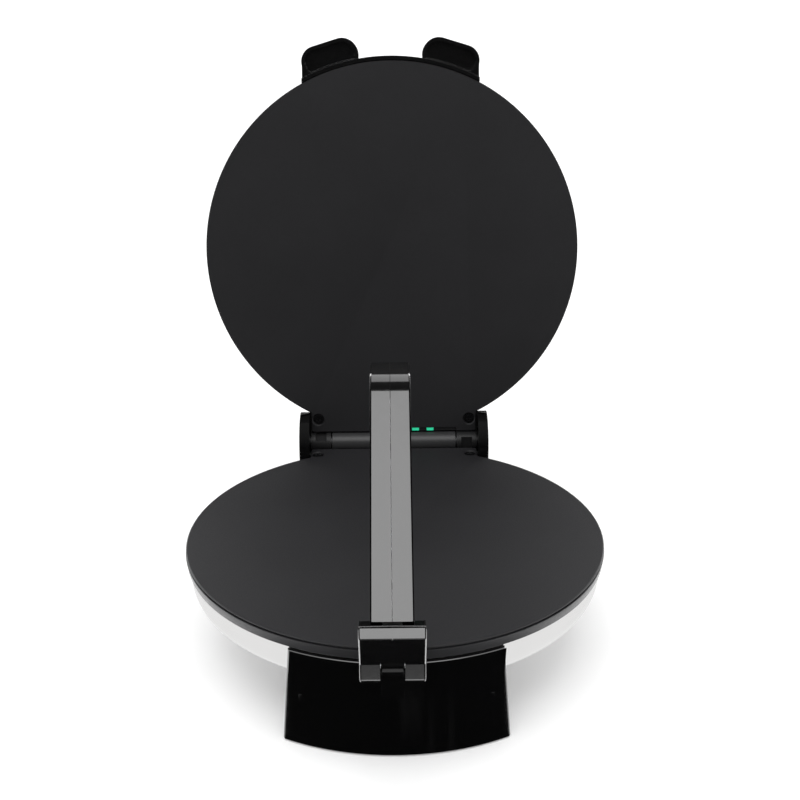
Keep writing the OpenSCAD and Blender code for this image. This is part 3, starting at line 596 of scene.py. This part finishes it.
# Widths run across the lever. BACK and FRONT are measured from the pivot out of the lever's front face, and
# HUB_TOP from the pivot up the arm.
ARM_W = 22.4
ARM_BACK = 10.2
ARM_FRONT = 20.5
ARM_CORNER = 1.6
ARM_GAP = 2.4
HUB_W = 34.2
HUB_TOP = 25.5
HUB_FRONT = 23.4
HUB_RIM = 1.3
LUG_R = 8.5
LUG_CORNER = 3.2
LUG_DROP = 7.2
LUG_COVER_R = 6.25
# Where the hollow of the socket begins, up the arm
SOCKET_FLOOR = 18
# The slot between the lugs
SLOT_W = 12.8
SLOT_TOP = 6.6
PIN_BORE_R = 2.56
PIN_COVER = 1.4


def lean(along, out):
    """A point of the lever's side view, from along the arm and out towards its front."""
    c, s = math.cos(LEVER_LEAN), math.sin(LEVER_LEAN)
    return (along * c - out * s, along * s + out * c)


def lug_corner(side):
    """A cutter that rounds the lower outer corner of one of the hub's lugs, seen from the front."""
    half = HUB_W / 2
    middle = LUG_CORNER - LUG_DROP
    outline = [(half + 1, -LUG_R - 1), (half + 1, middle)]
    outline += arc((half - LUG_CORNER, middle), LUG_CORNER, 0, -90, 8)
    outline += [(half - LUG_CORNER, -LUG_R - 1)]
    return slab("cutter", outline, [(0, -20), (0, 20)], FRONT @ Matrix.Diagonal((side, 1, 1, 1)))


def hub():
    """The lever's socket: a block with slanted faces that ends in two lugs around the pin."""
    lug_front = arc((-5.5, -3.3), 3.5, 180, 262, 8)
    around_pin = arc((0.6, 0), LUG_R - 0.6, 262, 394, 16)
    back = [lean(19.6, ARM_BACK), lean(HUB_TOP, ARM_BACK)]
    front = [lean(HUB_TOP, HUB_FRONT), lean(20.4, 23.85), lean(19.7, 23.6), (-LUG_R - 0.5, 5.4)]
    outline = lug_front + around_pin + back + front
    piece = slab("lever_hub_finish", outline, rounded_sides(HUB_W / 2, HUB_RIM, 8), SIDE)

    past_back = 1
    past_top = 42
    socket_centre = (0, (SOCKET_FLOOR + past_top) / 2, (ARM_BACK + ARM_FRONT - past_back) / 2)
    socket_size = (ARM_W, past_top - SOCKET_FLOOR, ARM_FRONT - ARM_BACK + past_back)
    socket = block(socket_centre, socket_size, LEVER)
    below = 20
    slot = block((0, (SLOT_TOP - below) / 2, 0), (40, SLOT_TOP + below, SLOT_W), SIDE)
    bore_half = HUB_W / 2 - PIN_COVER
    bore = slab("cutter", circle((0, 0), PIN_BORE_R, 24), [(0, -bore_half), (0, bore_half)], SIDE)
    seam = block((0, HUB_TOP - 2, HUB_FRONT + 0.3), (0.3, 9, 1.4), LEVER)
    cut(piece, [socket, slot, bore, seam, lug_corner(-1), lug_corner(1)])
    smooth(piece, 14)
    finish_piece(piece, "lever_hub")
    return piece


def hub_lip():
    """A raised lip round the front and sides of the socket that holds the arm."""
    half = HUB_W / 2 - 0.35
    back = 12.5
    front = HUB_FRONT - 1.3
    thick = 0.8
    dip = 0.35
    outline = [
        (-half, back), (-half + thick, back), (-half + thick, front - thick), (0, front - thick - dip),
        (half - thick, front - thick), (half - thick, back), (half, back), (half, front), (0, front - dip),
        (-half, front),
    ]
    piece = slab("lever_hub_lip", outline, [(0, HUB_TOP - 0.3), (0, HUB_TOP + 0.9)], SECTION)
    smooth(piece)
    round_edges(piece, 0.3)
    finish_extra(piece, "lever", "black_plastic")
    return piece


def lug_cover():
    """A thin sleeve around the stand's lug, between the two lugs of the lever."""
    half = SLOT_W / 2 - 0.5
    piece = slab("lug_cover", circle((0, 0), LUG_COVER_R, 45), rounded_sides(half, 0.5, 3), SIDE)
    smooth(piece, 40)
    finish_extra(piece, "base", "black_plastic")
    return piece


def arm_edge(edge):
    """An edge between an outer side face of the arm and a face that doesn't look backwards."""
    ahead = Vector((0, -math.sin(LEVER_LEAN), math.cos(LEVER_LEAN)))
    one, two = (face.normal for face in edge.link_faces)
    if abs(one.x) < abs(two.x):
        one, two = two, one
    outward = (edge.verts[0].co.x - LEVER_X) * one.x > 0
    return outward and abs(one.x) > 0.9 and abs(two.x) < 0.5 and two.dot(ahead) > -0.75


def arm_foot():
    """A cutter for the dark gap above the socket, which leaves the arm's face with rounded lower corners."""
    half = ARM_W / 2
    foot = HUB_TOP + ARM_GAP
    middle = foot + ARM_CORNER
    outline = [(-half - 1, foot - 5), (half + 1, foot - 5), (half + 1, middle)]
    outline += arc((half - ARM_CORNER, middle), ARM_CORNER, 0, -90, 5)
    outline += arc((-half + ARM_CORNER, middle), ARM_CORNER, -90, -180, 5)
    outline += [(-half - 1, middle)]
    return slab("cutter", outline, [(0, ARM_FRONT - 8), (0, ARM_FRONT + 1)], LEVER)


def shape_arm(piece):
    """Bevels along the arm, and the gap at its foot."""
    chamfer(piece, arm_edge, 0.7)
    cut(piece, [arm_foot()])


# ---------- leg ----------

# Beyond this distance from the middle lie only the leg's own sides, not its inner ribs
LEG_SIDE_X = 54.5 * MM
# Within this distance, and above this height, lies the lug that carries the lever
LEG_LUG_X = 13 * MM
LEG_TOP_Z = 50 * MM
# The gap above the leg reaches this far above and below the bottom of the plate's rim
LEG_GAP = 1.7


def leg_gap():
    """Cutters for the dark gap between the lower plate and the leg, on both sides of the leg's lug."""
    inner, outer = 12, 64
    ahead, behind = 2, 52
    rim_bottom = PLATE_CENTRE.z / MM - RIM_H
    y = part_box("front_leg")[0].y / MM + (behind - ahead) / 2
    size = (outer - inner, ahead + behind, 2 * LEG_GAP)
    return [block((side * (inner + outer) / 2, y, rim_bottom), size, Matrix.Scale(MM, 4)) for side in (-1, 1)]


def front_and_other(edge):
    """The normals of an edge's two faces, the one that looks further forwards first."""
    return sorted((face.normal for face in edge.link_faces), key=lambda normal: normal.y)


def leg_side(edge):
    """An edge between the leg's front and its outer side."""
    front, other = front_and_other(edge)
    x = edge.verts[0].co.x
    return front.y < -0.6 and abs(other.x) > 0.9 and abs(x) > LEG_SIDE_X and x * other.x > 0


def leg_top(edge):
    """An edge between the leg's front and its top, clear of the lug in the middle."""
    front, other = front_and_other(edge)
    place = edge.verts[0].co
    return front.y < -0.6 and other.z > 0.9 and abs(place.x) > LEG_LUG_X and place.z > LEG_TOP_Z


def shape_leg(piece):
    """The gap above the leg, and bevels around its front face."""
    cut(piece, leg_gap())
    chamfer(piece, leg_top, 0.4)
    chamfer(piece, leg_side, 0.9)


# ---------- the whole ----------

# Width in millimetres of the rounded edges of each finished node
EDGES = {
    "front_leg": 0.7, "hinge_housing": 0.8, "hinge_cheek_left": 1.0, "hinge_cheek_right": 1.0,
    "stand_spine": 0.6, "bottom_cover": 0.4, "rubber_feet": 0.3, "cord_inlet": 0.4,
    "lower_housing": 0.2, "lid_shell": 0.2,
    "lid_handle": 0.9, "hinge_cover": 0.9, "hinge_bracket_left": 0.5, "hinge_bracket_right": 0.5,
    "hinge_sleeve": 0.5, "lever_arm_left": 0.3, "lever_arm_right": 0.3,
    "lamp_board": 0.15, "indicator_lenses": 0.25,
    "lower_plate_screws": 0.2, "upper_plate_screws": 0.2, "dome_screws": 0.15, "lever_screws": 0.15,
    "handle_screws": 0.15, "bottom_screws": 0.15,
}

# Nodes whose finished copies get bevels and cuts of their own before the general rounding
SHAPES = {"lever_arm_left": shape_arm, "lever_arm_right": shape_arm, "front_leg": shape_leg}

floor()
pieces = {node: refined(node, width, SHAPES.get(node)) for node, width in EDGES.items()}
pieces["lower_plate"] = plate("lower_plate", BASE)
pieces["upper_plate"] = plate("upper_plate", LID_PLATE, LAMP_SLOT)
pieces["lever_hub"] = hub()
pieces["hub_lip"] = hub_lip()
pieces["lug_cover"] = lug_cover()
studio(pieces)

# The CAD nodes get their finish too, since those without a finished copy stay visible
for node, piece in nodes.items():
    for slot in piece.material_slots:
        slot.material = materials[slot_of[node]]
